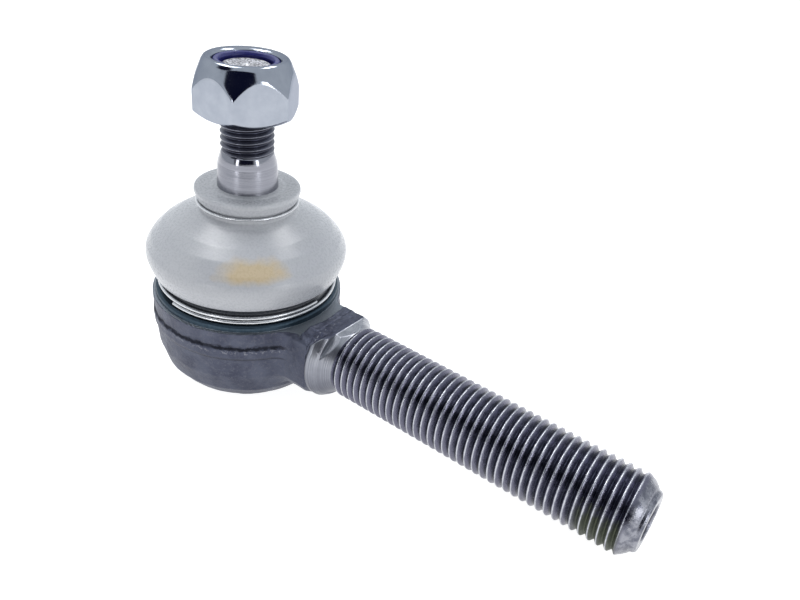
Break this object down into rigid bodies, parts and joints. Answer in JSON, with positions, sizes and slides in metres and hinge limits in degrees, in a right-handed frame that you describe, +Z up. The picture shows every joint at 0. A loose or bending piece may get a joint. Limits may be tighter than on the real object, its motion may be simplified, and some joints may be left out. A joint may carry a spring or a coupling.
{
  "type": "tie rod end",
  "caption": "Tie rod end: ball joint in a forged housing with a male threaded shank, rubber dust boot and self-locking nut on a tapered stud.",
  "frame": {"origin": "centre of the ball, where the stud's axis meets the shank's axis", "axes": "+Z up the stud, +X out along the threaded shank, +Y to the left when looking out along the shank"},
  "size_m": [0.1075, 0.039, 0.0652],
  "materials": {
    "forged_steel": "dark forged skin with turned and rolled bright areas",
    "stud_steel": "ground taper and rolled thread, satin",
    "zinc_nut": "bluish bright zinc plate",
    "nylon": "navy blue, satin",
    "boot_rubber": "milky, slightly translucent, satin",
    "ring_wire": "drawn bright wire",
    "seat_plastic": "natural acetal, smooth",
    "spring_steel": "dark oiled spring steel",
    "cover_steel": "pressed sheet, satin",
    "grease": "ochre, glossy"
  },
  "bodies": {
    "housing": {"housing": "forged_steel", "upper_ball_seat": "seat_plastic", "lower_ball_seat": "seat_plastic", "preload_spring": "spring_steel", "cover_plate": "cover_steel", "boot_bottom_ring": "ring_wire", "grease": "grease"},
    "boot": {"dust_boot": "boot_rubber"},
    "boot_top": {"boot_top_ring": "ring_wire"},
    "stud": {"ball_stud": "stud_steel"},
    "nut_carrier": {"nylon_ring": "nylon"},
    "nut": {"lock_nut": "zinc_nut"}
  },
  "joints": [
    {"name": "stud_swing_fore_aft", "type": "hinge", "parent": "housing", "child": "boot", "pos_m": [0, 0, 0], "axis": [0, 1, 0], "range_deg": [-18, 18], "deforming": ["dust_boot"]},
    {"name": "stud_swing_sideways", "type": "hinge", "parent": "boot", "child": "boot_top", "pos_m": [0, 0, 0], "axis": [1, 0, 0], "range_deg": [-18, 18]},
    {"name": "stud_turn", "type": "hinge", "parent": "boot_top", "child": "stud", "pos_m": [0, 0, 0], "axis": [0, 0, 1], "continuous": true},
    {"name": "nut_travel", "type": "slide", "parent": "stud", "child": "nut_carrier", "axis": [0, 0, 1], "range_m": [-0.0081, 0.0081]},
    {"name": "nut_turn", "type": "hinge", "parent": "nut_carrier", "child": "nut", "pos_m": [0, 0, 0.045], "axis": [0, 0, 1], "range_deg": [-2304, 2304]}
  ],
  "couplings": [
    {"joint": "nut_travel", "follows": "nut_turn", "m_per_rad": 0.00019894}
  ]
}
